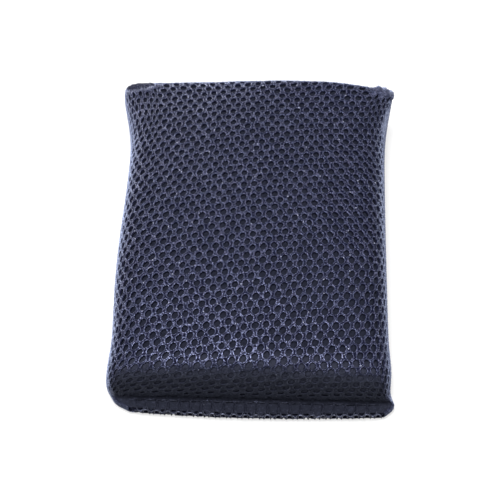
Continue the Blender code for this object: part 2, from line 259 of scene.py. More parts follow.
def cover_cage():
    """The section loops of the CAD cover, from the lip's open edge to the allowance inside."""
    loops = []
    root = HALF_WIDTH, HALF_WIDTH + LIP_KNOB
    edge = HALF_WIDTH - LIP_LEFT_INSET, HALF_WIDTH - LIP_RIGHT_INSET
    for share, widening in ((0.0, 0.0), (0.45, 0.5), (0.85, 0.85)):
        y = FRONT - LIP_LENGTH * (1 - share)
        widths = [e + (r - e) * widening for e, r in zip(edge, root)]
        loops.append(section_loop((y, LIP_TOP), (y, LIP_BOTTOM), widths, SEAM_HALF, SEAM_HALF,
                                  bow=LIP_BOW * (1 - share)))
    loops.append(section_loop((FRONT + 0.5, LIP_TOP + 0.3), (FRONT + 1.6, LIP_BOTTOM / 2), root,
                              SEAM_HALF * 1.4, SEAM_HALF * 1.4))
    for top_y, share, bottom_y, flare, shoulder in (
            (-FRONT_BELLY, 0.40, 8.0, 0.5, 4.0), (-FRONT_BELLY, 0.76, 14.0, 1.0, 6.0),
            (1.6, 1.0, 20.0, 1.0, SHOULDER_ROUND * 0.8)):
        right = HALF_WIDTH + FRONT_FLARE * flare
        left = right + FRONT_LEFT_FLARE * (1 - share ** 2)
        loops.append(section_loop((FRONT + top_y, FRONT_EDGE_HEIGHT * share),
                                  (FRONT + bottom_y, 0.0), (left, right), shoulder, BASE_ROUND,
                                  SIDE_BULGE, SIDE_FALL * share ** 2))
    first, last = FRONT + FRONT_SHOULDER_RUN, REAR - REAR_SHOULDER_RUN
    base_first = FRONT + BASE_RUN
    for step in range(SPAN_LOOPS + 1):
        share = step / SPAN_LOOPS
        top_y = first + (last - first) * share
        loops.append(section_loop((top_y, top_height(top_y)),
                                  (base_first + (last - base_first) * share, 0.0),
                                  side_widths(share), SHOULDER_ROUND, BASE_ROUND, SIDE_BULGE,
                                  SIDE_FALL))
    turn = PLY_GAP / 2 + REAR_SEAM_TURN
    for top_y, top_z, bottom_y, bottom_z, inset, corner, fall in (
            (-0.6, REAR_EDGE_HEIGHT, 0.2, 0.6, 0.0, REAR_EDGE_ROUND, 0.8),
            (0.8, (REAR_EDGE_HEIGHT + REAR_SEAM_HEIGHT) / 2, 0.8, REAR_SEAM_HEIGHT * 0.45, 0.3,
             4.0, 0.4),
            (0.6, REAR_SEAM_HEIGHT + turn, 0.6, REAR_SEAM_HEIGHT - turn, 1.2, 2.0, 0.0)):
        loops.append(section_loop((REAR + top_y, top_z), (REAR + bottom_y, bottom_z),
                                  (HALF_WIDTH - inset, HALF_WIDTH - inset), corner, corner,
                                  fall=SIDE_FALL * fall))
    for side, shares in EAR_SHARES.items():
        for loop, share in zip(loops[-5:], shares):
            for index, weight in EAR_POINTS:
                loop[side * index][0] += side * EAR_REACH * weight * share
                loop[side * index][2] += EAR_LIFT[side] * weight * share
    for point in [point for loop in loops[4:] for point in loop]:
        near = clamp(1 - (REAR - point[1]) / REAR_WAVE_RUN)
        level = clamp((point[2] - REAR_SEAM_HEIGHT) / (REAR_EDGE_HEIGHT - REAR_SEAM_HEIGHT))
        point[2] += near ** 2 * level * rear_wave(min(1.0, point[0] / HALF_WIDTH))
    half = HALF_WIDTH - REAR_SEAM_INSET
    for share in (0.35, 0.7, 1.0):
        y = REAR - REAR_ALLOWANCE * share
        loops.append(section_loop((y, REAR_SEAM_HEIGHT + PLY_GAP / 2),
                                  (y, REAR_SEAM_HEIGHT - PLY_GAP / 2), (half, half),
                                  REAR_SEAM_TURN, REAR_SEAM_TURN))
    return np.array(loops)


def weights(t):
    """Uniform cubic B-spline weights and their derivatives."""
    value = np.stack([(1 - t) ** 3, 3 * t ** 3 - 6 * t ** 2 + 4,
                      -3 * t ** 3 + 3 * t ** 2 + 3 * t + 1, t ** 3], -1) / 6
    slope = np.stack([-(1 - t) ** 2, 3 * t ** 2 - 4 * t, -3 * t ** 2 + 2 * t + 1, t ** 2], -1) / 2
    return value, slope


class Surface:
    """A bicubic B-spline over a cage: s runs along the bag, g round it."""

    def __init__(self, cage):
        self.cage = extended(cage)
        self.rows, self.around = cage.shape[:2]

    def at(self, s, g):
        """Points and outward normals."""
        j = np.clip(np.floor(s).astype(int), 0, self.rows - 2)
        i = np.floor(g).astype(int)
        (ws, ds), (wg, dg) = weights(s - j), weights(g - i)
        point, along, across = np.zeros((3, len(s), 3))
        for a in range(4):
            for b in range(4):
                c = self.cage[j + a, (i - 1 + b) % self.around]
                point += (ws[:, a] * wg[:, b])[:, None] * c
                along += (ds[:, a] * wg[:, b])[:, None] * c
                across += (ws[:, a] * dg[:, b])[:, None] * c
        return point, unit(np.cross(along, across))


class Fabric:
    """Fabric places (u, v) on the surface: u is the distance round the bag from the middle of
    the top, to the right, and v the distance along it, to the rear, both in millimetres."""

    REF = 10.5  # the station at which v is 0 and u is measured
    STEP = 0.5
    FINE_S, FINE_G = 16, 12

    def __init__(self, surface):
        self.surface = surface
        s = np.linspace(0, surface.rows - 1, (surface.rows - 1) * self.FINE_S + 1)
        g = np.arange(surface.around * self.FINE_G) / self.FINE_G
        points = surface.at(*pairs(s, g))[0].reshape(len(s), len(g), 3)
        ref = np.searchsorted(s, self.REF)
        length = path_length(np.concatenate([points[ref], points[ref][:1]]))
        self.girth = length[-1]
        self.g_knots = np.append(g, surface.around)
        middle = np.interp(surface.around / 2, self.g_knots, length)
        self.u_knots = middle - length  # falls as g grows
        steps = np.linalg.norm(np.diff(points, axis=0), axis=2)
        v = np.concatenate([np.zeros((1, len(g))), np.cumsum(steps, axis=0)])
        v -= v[ref]
        self.low, self.high = v[0], v[-1]
        self.v_first = self.STEP * math.floor(self.low.min() / self.STEP)
        grid = np.arange(self.v_first, self.high.max() + self.STEP, self.STEP)
        self.table = np.stack([np.interp(grid, v[:, i], s) for i in range(len(g))])
        self.v_table, self.s_knots = v, s
        self.fine = len(g)

    def g_of(self, u):
        """The girth parameter of a distance round the bag."""
        top = self.u_knots[0]
        u = (u - (top - self.girth)) % self.girth + (top - self.girth)
        return np.interp(u, self.u_knots[::-1], self.g_knots[::-1]) % self.surface.around

    def _around(self, g):
        place = g * self.fine / self.surface.around
        i = np.floor(place).astype(int)
        return i % self.fine, (i + 1) % self.fine, place - i

    def ends(self, u):
        """Where the fabric begins and ends along the meridian of u."""
        i, k, t = self._around(self.g_of(u))
        return lerp(self.low[i], self.low[k], t), lerp(self.high[i], self.high[k], t)

    def v_at(self, u, s):
        """The distance along at which the meridian of u crosses the station s."""
        i, k, t = self._around(self.g_of(u))
        row = np.interp(s, self.s_knots, np.arange(len(self.s_knots)))
        j = int(row)
        f = row - j
        v = lerp(self.v_table[j], self.v_table[min(j + 1, len(self.s_knots) - 1)], f)
        return lerp(v[i], v[k], t)

    def station(self, u, v):
        """The surface's s and g of a place."""
        g = self.g_of(u)
        i, k, t = self._around(g)
        place = np.clip((v - self.v_first) / self.STEP, 0, self.table.shape[1] - 1.001)
        j = place.astype(int)
        f = place - j
        return lerp(lerp(self.table[i, j], self.table[i, j + 1], f),
                    lerp(self.table[k, j], self.table[k, j + 1], f), t), g

    def at(self, u, v):
        return self.surface.at(*self.station(u, v))


def fabric_depth(s):
    """How far the fabric's inner face lies below its outer one at the station s."""
    return (FABRIC_THICK + LIP_THICKER * (1 - smooth(2.6, 3.4, s))
            - FRONT_THINNER * smooth(3.2, 3.8, s) * (1 - smooth(5.6, 6.6, s)))


def waves(u, v, girth, rng, count, longest, shortest):
    """A smooth random field over the fabric, about -1 to 1, that closes round the bag."""
    total = np.zeros_like(u)
    for _ in range(count):
        size = math.exp(rng.uniform(math.log(shortest), math.log(longest)))
        angle = rng.uniform(0, math.pi)
        turns = round(girth / size * math.cos(angle))
        total += np.sin(2 * math.pi * (turns * u / girth + v * math.sin(angle) / size)
                        + rng.uniform(0, 2 * math.pi))
    return total / math.sqrt(count / 2) / 1.6


# ---- the knitted cover

class Knit:
    """The whole cover as arrays: points, quads, triangles and what the material needs.

    A cell of the knit is a hexagon with a hole in it. Cells are counted in half columns (a) and
    thirds of a row (b), and share the points of their outlines, which are the web between the
    holes. Quads and triangles are each a list of the faces, the places of their corners on the
    fabric, and the cell that each face belongs to."""

    CORNER_STEPS = np.array([(0, 2), (-1, 1), (-1, -1), (0, -2), (1, -1), (1, 1)])
    SEGMENTS = (3, 2, 3, 3, 2, 3)  # in which the six sides of an outline are divided

    def __init__(self, fabric):
        self.fabric, self.girth = fabric, fabric.girth
        self.pitch = self.girth / COLUMNS
        self.slope = ROWS_PER_TURN * ROW_PITCH / self.girth
        self.rng = np.random.default_rng(SEED)
        self.lay_out()
        self.rings = self.hole_rings()
        self.raise_points()
        self.join()
        self.close_ends()
        self.normals = unit(vertex_normals(self.points, [self.quads[0], self.triangles[0]])
                            + YARN_FLATNESS * self.facing)
        self.cell_random = self.rng.random(self.count)

    def place(self, a, b):
        """Fabric coordinates of half column a and third row b."""
        u = a * self.pitch / 2 - self.girth / 2
        return np.stack([u, b * ROW_PITCH / 3 + self.slope * u], -1)

    def warp(self, uv):
        """The uneven stretch of the fabric."""
        rng = np.random.default_rng(SEED + 1)
        moves = [waves(uv[..., 0], uv[..., 1], self.girth, rng, *STRETCH_WAVES) * STRETCH
                 for _ in range(2)]
        return uv + np.stack(moves, -1) + gather(uv, self.girth)

    def lay_out(self):
        """The cells that lie on the bag, and their outlines."""
        low, high = self.fabric.low.min(), self.fabric.high.max()
        climb = self.slope * self.girth / 2
        rows = np.arange(math.floor((low - climb) / ROW_PITCH) - 2,
                         math.ceil((high + climb) / ROW_PITCH) + 3)
        row, column = pairs(rows, np.arange(COLUMNS))
        a, b = 2 * column + row % 2, 3 * row
        centre = self.place(a, b)
        low, high = self.fabric.ends(centre[:, 0])
        inside = (centre[:, 1] > low - ROW_PITCH) & (centre[:, 1] < high + ROW_PITCH)
        a, b, self.centre = a[inside], b[inside], centre[inside]
        self.count = len(a)

        a, b = a[:, None] + self.CORNER_STEPS[:, 0], b[:, None] + self.CORNER_STEPS[:, 1]
        turn = np.floor_divide(a, 2 * COLUMNS)
        keys = np.stack([(a - turn * 2 * COLUMNS).ravel(),
                         (b + turn * 3 * ROWS_PER_TURN).ravel()], 1)
        found, corner = np.unique(keys, axis=0, return_inverse=True)
        corner = corner.reshape(self.count, 6)
        jitter = self.rng.uniform(-CORNER_JITTER, CORNER_JITTER, (len(found), 2))
        corners = self.place(a, b) + jitter[corner]
        ends = np.stack([corner, onward(corner)], -1)
        sides, side = np.unique(np.sort(ends, -1).reshape(-1, 2), axis=0, return_inverse=True)
        side = side.reshape(self.count, 6)
        outline, ids = [], []
        for e, parts in enumerate(self.SEGMENTS):
            here, after = corners[:, e], corners[:, (e + 1) % 6]
            forward = ends[:, e, 0] < ends[:, e, 1]
            for p in range(parts):
                outline.append(here + (after - here) * p / parts)
                number = np.where(forward, p, parts - p)
                ids.append(corner[:, e] if p == 0 else len(found) + side[:, e] * 2 + number - 1)
        self.outline, self.ids = np.stack(outline, 1), np.stack(ids, 1)
        self.corner_count, self.web_count = len(found), len(found) + 2 * len(sides)
        self.middle = self.centre + self.rng.uniform(-MIDDLE_JITTER, MIDDLE_JITTER,
                                                     (self.count, 2))

    def openness(self):
        """How far each hole is open: closed at both seams, on the ears and where the fabric is
        squeezed. And how wide the fabric is there, as a share of its full width."""
        u, v = self.centre.T
        front, rear = (self.fabric.v_at(u, station) for station in HOLE_STATIONS)
        share = smooth(*FRONT_OPENS, v - front) * smooth(*REAR_OPENS, rear - v)
        tiny = np.array([0.4, 0.0])
        ends = [self.fabric.at(*self.warp(self.centre + side * tiny).T)[0] for side in (1, -1)]
        width = np.linalg.norm(ends[0] - ends[1], axis=1) / (2 * tiny[0])
        share *= smooth(*WIDTH_OPENS, width)
        share *= 1 - np.clip(sum(ear_zones(*self.warp(self.centre).T)) * 1.6, 0, 1)
        return share, width

    def hole_rings(self):
        """The rings of each hole on the fabric: foot, crest and rim of its bead, and the rim on
        the underside."""
        share, width = self.openness()
        self.opened, self.shut = (np.where(chosen)[0] for chosen in (share > OPEN_FROM,
                                                                     share <= OPEN_FROM))
        from_middle = self.outline - self.middle[:, None]
        reach = np.linalg.norm(from_middle, axis=2)
        way = from_middle / reach[..., None]
        size = (1 + self.rng.uniform(-HOLE_JITTER, HOLE_JITTER, (self.count, 1))) * share[:, None]
        lean = self.rng.uniform(*HOLE_LEAN, (self.count, 1))
        u, v = self.centre.T
        front_right = smooth(-15, 30, u) * smooth(-5, -35, v)
        lean += (FRONT_RIGHT_LEAN * front_right + LEFT_LEAN * smooth(-20, -40, u)
                 + RIGHT_LEAN * smooth(10, 35, u) * window(v, -20, 30, 8))[:, None]
        length = HOLE_HALF[1] * (1 + FRONT_RIGHT_LONGER * front_right[:, None])
        rim = size * (np.abs((way[..., 0] - lean * way[..., 1]) / HOLE_HALF[0]) ** HOLE_POINT
                      + np.abs(way[..., 1] / length) ** HOLE_POINT) ** (-1 / HOLE_POINT)
        rim = np.minimum(rim, reach - LEAST_WEB)
        bead = np.minimum(BEAD, BEAD_SHARE * (reach - rim))
        wall = -WALL_SLOPE * smooth(0.4, 0.9, width)[:, None]  # a narrow hole's are steep
        return [self.middle[:, None] + way * (rim + bead * out)[..., None]
                for out in (1.0, 0.5, 0.0, wall)]

    def raise_points(self):
        """Every point: its place on the fabric, its depth below the outer face, and its tone,
        which is -1 on the underside and from 0 in a gap to 1 on the crest of a bead."""
        rng, opened, shut = self.rng, self.opened, self.shut
        self.web_uv = np.zeros((self.web_count, 2))
        self.web_uv[self.ids.ravel()] = self.outline.reshape(-1, 2)
        self.web_uv[:, 1] = np.clip(self.web_uv[:, 1], *self.fabric.ends(self.web_uv[:, 0]))

        # the web has bridges of yarn, and gaps that go deep
        chance = np.where(np.arange(self.web_count) < self.corner_count, *GAP_CHANCE)
        is_gap = rng.random(self.web_count) < chance
        web_depth = (np.where(is_gap, GAP_DEPTH, BRIDGE_DEPTH)
                     + rng.uniform(-WEB_JITTER, WEB_JITTER, self.web_count))
        web_tone = np.where(is_gap, 0.0, rng.uniform(*BRIDGE_TONE, self.web_count))

        shape, shut_shape = (len(opened), RING), (len(shut), RING)
        loops = np.where(np.arange(RING) % 2 == 0, LOOP_HEIGHT, -LOOP_HEIGHT)
        hubs = self.middle[shut]
        self.bump = hubs[:, None] + BUMP_SHARE * (self.outline[shut] - hubs[:, None])
        foot, crest, rim, rim_under = (ring[opened] for ring in self.rings)
        parts = (("web", self.web_uv, web_depth, web_tone),
                 ("foot", foot, 0.16 + rng.uniform(-0.03, 0.03, shape), 0.45),
                 ("crest", crest, np.clip(0.07 + loops + rng.uniform(-0.05, 0.05, shape), 0, 1),
                  1.0),
                 ("rim", rim, 0.22 + rng.uniform(-0.03, 0.03, shape), 0.55),
                 ("rim_under", rim_under, -0.1, -1.0),
                 ("web_under", self.web_uv, 0.0, -1.0),
                 ("bump", self.bump, 0.05 + rng.uniform(-0.04, 0.05, shut_shape), 0.9),
                 ("hub", hubs, 0.2, 0.3),
                 ("hub_under", hubs, 0.0, -1.0))
        self.first, columns, total = {}, [], 0
        for name, uv, depth, tone in parts:
            self.first[name] = total
            size = uv.size // 2
            columns.append((uv.reshape(size, 2), np.broadcast_to(np.ravel(depth), size),
                            np.broadcast_to(tone, size)))
            total += size
        uv, depth, tone = map(np.concatenate, zip(*columns))

        low, high = self.fabric.ends(uv[:, 0])
        uv[:, 1] = np.clip(uv[:, 1], low, high)
        self.at_end = (uv[:, 1] <= low + 1e-9) | (uv[:, 1] >= high - 1e-9)
        laid = warp_inside(self.warp, uv, low, high)
        u, v = laid.T
        station, around = self.fabric.station(u, v)
        outer, normal = self.fabric.surface.at(station, around)
        outside = tone >= 0
        depth = np.where(outside, depth, depth + fabric_depth(station))
        fuzz_and_shade, rim, knob, strip = ear_zones(u, v)
        folds = 0.25 * np.sin(u * 2.4 + v * 1.3)
        ragged = 0.25 * np.sin(u * 3.9) * np.sin(v * 4.3)
        depth += fuzz_and_shade * (0.1 + ragged) - 0.4 * rim - knob * (1.0 + folds)
        # painted shade: the front wall and the lip are darkened and their yarn pattern is
        # flattened, and painted light makes the groove at the lip's root lighter, less so the
        # front wall above it
        self.pale = smooth(2.9, 3.5, station) * (1 - 0.45 * smooth(4.0, 4.6, station))
        self.plain = smooth(-60.5, -66.0, v) * (1 - smooth(38, 44, np.abs(u)))
        # painted shade also darkens the fuzzy crescent on the left ear
        tone = np.where(outside, tone * (1 - 0.9 * fuzz_and_shade) * (1 - 0.8 * self.plain), tone)
        # painted highlight on the rim before the left ear's crescent, and painted sheen on the
        # right ear's fold and the strip beside it: their tone is raised towards light
        least = np.maximum(np.maximum(0.85 * rim, knob), 0.7 * strip)
        self.tone = np.where(outside, np.maximum(tone, least), tone)
        self.points = outer - normal * depth[:, None]
        self.facing = normal * outside[:, None]

    def join(self):
        """The faces. Walls and underside lie inside the hole's outline in the bake's map."""
        def ids(name, cells):
            return self.first[name] + np.arange(len(cells))[:, None] * RING + np.arange(RING)

        def band(cells, near, far, near_uv, far_uv):
            corners_uv = np.stack([near_uv, onward(near_uv), onward(far_uv), far_uv], 2)
            return strip_between(near, far), corners_uv.reshape(-1, 4, 2), np.repeat(cells, RING)

        cells = self.opened
        centre, rim = self.middle[cells][:, None], self.rings[2][cells]
        chain = [self.first["web"] + self.ids[cells], ids("foot", cells), ids("crest", cells),
                 ids("rim", cells), ids("rim_under", cells),
                 self.first["web_under"] + self.ids[cells]]
        flat = [self.outline[cells], self.rings[0][cells], self.rings[1][cells], rim,
                centre + 0.55 * (rim - centre), centre + 0.12 * (rim - centre)]
        bands = [band(cells, *rings) for rings in zip(chain, chain[1:], flat, flat[1:])]
        cells = self.shut
        bump = ids("bump", cells)
        bands.append(band(cells, self.first["web"] + self.ids[cells], bump,
                          self.outline[cells], self.bump))
        self.quads = [np.concatenate(column) for column in zip(*bands)]

        hub, hub_under = (np.broadcast_to(self.first[name] + np.arange(len(cells))[:, None],
                                          bump.shape) for name in ("hub", "hub_under"))
        under = self.first["web_under"] + self.ids[cells]
        hub_uv = np.broadcast_to(self.middle[cells][:, None], self.bump.shape)
        inner_uv = hub_uv + 0.5 * (self.bump - hub_uv)
        self.triangles = [
            np.concatenate([np.stack(corners, -1).reshape(-1, 3) for corners in (
                (bump, onward(bump), hub), (onward(under), under, hub_under))]),
            np.concatenate([np.stack(corners, 2).reshape(-1, 3, 2) for corners in (
                (self.bump, onward(self.bump), inner_uv),
                (onward(inner_uv), inner_uv, hub_uv))]),
            np.tile(np.repeat(cells, RING), 2)]

    def close_ends(self):
        """What lies wholly on an end goes, and the open edges left there get a rim."""
        for kind in (self.quads, self.triangles):
            kept = ~self.at_end[kind[0]].all(1)
            kind[:] = [values[kept] for values in kind]
        edges = np.concatenate([self.quads[0][:, [i, (i + 1) % 4]] for i in range(4)])
        cells = np.tile(self.quads[2], 4)
        on_web = (edges < self.web_count).all(1)
        edges, cells = edges[on_web], cells[on_web]
        code = np.sort(edges, 1) @ np.array([self.web_count, 1])
        _, first, uses = np.unique(code, return_index=True, return_counts=True)
        lone = first[uses == 1]
        far, near = edges[lone].T
        under = self.first["web_under"]
        rim = np.stack([near, far, far + under, near + under], 1)
        rim_uv = self.web_uv[np.stack([near, far, far, near], 1)]
        rim_uv[:, 2:, 1] += 0.6 * np.where(self.web_uv[far, 1] < 0, -1.0, 1.0)[:, None]
        self.quads = [np.concatenate(both) for both in zip(self.quads, (rim, rim_uv, cells[lone]))]

    def piece(self, name, chosen):
        """The cells for which chosen is true, as an object."""
        kinds = [[values[chosen[kind[2]]] for values in kind]
                 for kind in (self.quads, self.triangles)]
        used, ids = np.unique(np.concatenate([kind[0].ravel() for kind in kinds]),
                              return_inverse=True)
        split = kinds[0][0].size
        faces = [ids[:split].reshape(-1, 4), ids[split:].reshape(-1, 3)]
        flat = np.concatenate([kind[1].reshape(-1, 2) for kind in kinds])
        cells = np.concatenate([np.repeat(kind[2], kind[0].shape[1]) for kind in kinds])
        low, high = flat.min(0), flat.max(0)
        baked = (flat - low) / (high - low) * (1 - 2 * BAKE_MARGIN) + BAKE_MARGIN
        chance = self.cell_random[cells]
        uvs = {"OFBake": baked, "knit": flat - self.middle[cells], "fabric": flat,
               "cell": np.stack([chance, chance], 1)}
        tones = {"ring": self.tone[used], "plain": self.plain[used], "pale": self.pale[used]}
        return mesh_object(name, self.points[used], faces, uvs, tones, self.normals[used], FABRIC)


def ear_zones(u, v):
    """Shares of four zones that have no holes: the fuzzy end of the rear seam on the left ear,
    which is also darkened as painted shade, the rim in front of it, lightened as a painted
    highlight, the fold on the right ear and the strip beside it, whose closed fabric is lightened
    as a painted sheen."""
    on_left = window(u, -46.5, -34.8, 1.2)
    rim_line = 54.7 + 0.06 * (u + 41.5) ** 2
    fuzz_and_shade = on_left * smooth(0.2, 1.4, v - rim_line) * (1 - smooth(61.5, 63.0, v))
    rim = on_left * np.exp(-((v - rim_line + 0.5) / 0.9) ** 2) * (1 - fuzz_and_shade)
    knob = window(u, 38.0, 47.0, 1.2) * window(v, 55.5, 62.5, 0.9)
    strip = window(u, 45.6, 49.5, 0.9) * window(v, 37.0, 51.0, 2.0)
    return fuzz_and_shade, rim, knob, strip


def gather(uv, girth):
    """How far the fabric is drawn up over each ear, which crowds its columns there."""
    u = (uv[..., 0] + girth / 2) % girth - girth / 2
    moved = np.zeros_like(uv)
    for side, (start, end, strength, begin, full, drawn) in EAR_GATHERS.items():
        out = side * u
        crowd = strength * (np.clip(out, start, end) - start)
        back = np.clip((girth / 2 - out) / (girth / 2 - end), 0, 1)
        moved[..., 0] -= side * crowd * back * smooth(begin, full, uv[..., 1])
        pulled = smooth(start - 3, start + 14, out) * smooth(girth / 2 - 10, end, out)
        moved[..., 1] += drawn * pulled * smooth(begin + 10, full + 12, uv[..., 1])
    return moved


def warp_inside(warp, uv, low_end, high_end):
    """The warped places, with the warp faded out at both ends so that the edges stay put."""
    share = smooth(0, 6, uv[:, 1] - low_end) * smooth(0, 6, high_end - uv[:, 1])
    out = uv + (warp(uv) - uv) * share[:, None]
    out[:, 1] = np.clip(out[:, 1], low_end, high_end)
    return out


def vertex_normals(points, faces):
    """Area-weighted normals of the points of a mesh."""
    normals = np.zeros_like(points)
    for face in faces:
        corners = points[face]
        if face.shape[1] == 4:
            a, b = corners[:, 2] - corners[:, 0], corners[:, 3] - corners[:, 1]
        else:
            a, b = corners[:, 1] - corners[:, 0], corners[:, 2] - corners[:, 0]
        weight = np.cross(a, b)
        for ids in face.T:
            np.add.at(normals, ids, weight)
    return unit(normals)


def add_object(name, data, place=(0, 0, 0), towards=None):
    """An object in the scene. A lamp or a camera looks towards a direction."""
    obj = bpy.data.objects.new(name, data)
    obj.location = place
    if towards is not None:
        obj.rotation_euler = towards.to_track_quat("-Z", "Y").to_euler()
    bpy.context.scene.collection.objects.link(obj)
    return obj


def mesh_object(name, points, faces, uvs=None, tones=None, normals=None, material=None):
    """A mesh object from arrays. faces is a list of arrays of polygons with equally many
    corners, points are in millimetres, uvs is a dict of map name to corner coordinates in the
    faces' order, and tones a dict of attribute name to point values."""
    mesh = bpy.data.meshes.new(name)
    sizes = np.concatenate([np.full(len(f), f.shape[1]) for f in faces])
    corners = np.concatenate([f.ravel() for f in faces])
    mesh.vertices.add(len(points))
    mesh.vertices.foreach_set("co", (points * MM).astype(np.float32).ravel())
    mesh.loops.add(len(corners))
    mesh.loops.foreach_set("vertex_index", corners.astype(np.int32))
    mesh.polygons.add(len(sizes))
    mesh.polygons.foreach_set("loop_start",
                              np.concatenate([[0], np.cumsum(sizes)[:-1]]).astype(np.int32))
    mesh.polygons.foreach_set("use_smooth", np.ones(len(sizes), bool))
    mesh.update(calc_edges=True)
    for key, values in (uvs or {}).items():
        layer = mesh.uv_layers.new(name=key)
        layer.data.foreach_set("uv", np.asarray(values, np.float32).ravel())
    for key, values in (tones or {}).items():
        mesh.attributes.new(key, "FLOAT", "POINT").data.foreach_set(
            "value", np.asarray(values, np.float32))
    if normals is not None:
        mesh.normals_split_custom_set_from_vertices(normals.astype(np.float32))
    if material:
        mesh.materials.append(material)
    return add_object(name, mesh)


# ---- materials

class Nodes:
    """A short way to build the nodes of a material or a world."""

    def __init__(self, owner):
        owner.use_nodes = True
        self.owner, self.tree = owner, owner.node_tree
        self.shader = (self.tree.nodes.get("Principled BSDF")
                       or self.tree.nodes["Background"])

    def put(self, socket, value):
        if isinstance(value, bpy.types.NodeSocket):
            self.tree.links.new(value, socket)
        else:
            socket.default_value = value

    def add(self, kind, inputs=None, **settings):
        node = self.tree.nodes.new(kind)
        for key, value in settings.items():
            setattr(node, key, value)
        for key, value in (inputs or {}).items():
            self.put(node.inputs[key], value)
        return node

    def set(self, **values):
        for key, value in values.items():
            self.put(self.shader.inputs[key.replace("_", " ")], value)
        return self.owner

    def math(self, operation, a, b=0.0, c=0.0, clamp=False):
        return self.add("ShaderNodeMath", {0: a, 1: b, 2: c}, operation=operation,
                        use_clamp=clamp).outputs[0]

    def times(self, a, b, clamp=False):
        return self.math("MULTIPLY", a, b, clamp=clamp)

    def line(self, value, slope, offset, clamp=False):
        return self.math("MULTIPLY_ADD", value, slope, offset, clamp)

    def most(self, a, b):
        return self.math("MAXIMUM", a, b)

    def ramp(self, value, low, high):
        return self.add("ShaderNodeMapRange", {"Value": value, "From Min": low, "From Max": high},
                        interpolation_type="SMOOTHSTEP").outputs["Result"]

    def mix(self, share, a, b):
        node = self.add("ShaderNodeMix", data_type="RGBA")
        colours = [s for s in node.inputs if s.type == "RGBA"]
        for socket, value in zip([node.inputs["Factor"]] + colours, (share, a, b)):
            self.put(socket, value)
        return [s for s in node.outputs if s.type == "RGBA"][0]

    def bump(self, height, strength, distance):
        return self.add("ShaderNodeBump", {"Height": height, "Strength": strength,
                                           "Distance": distance}).outputs["Normal"]

    def uv(self, name):
        return self.add("ShaderNodeUVMap", uv_map=name).outputs["UV"]

    def attribute(self, name):
        return self.add("ShaderNodeAttribute", attribute_name=name).outputs["Fac"]

    def apart(self, vector):
        return self.add("ShaderNodeSeparateXYZ", {0: vector}).outputs

    def colours(self, colour):
        return self.add("ShaderNodeSeparateColor", {0: colour}).outputs

    def seen(self):
        """1 for what the camera, gloss and glass see, and 0 for the light that is given back."""
        path = self.add("ShaderNodeLightPath").outputs
        return self.most(path["Is Camera Ray"],
                         self.most(path["Is Glossy Ray"], path["Is Transmission Ray"]))


def linear(*rgb):
    """An sRGB colour of 0 to 255 as a linear RGBA."""
    return tuple((c / 255 / 12.92) if c <= 10 else ((c / 255 + 0.055) / 1.055) ** 2.4
                 for c in rgb) + (1.0,)


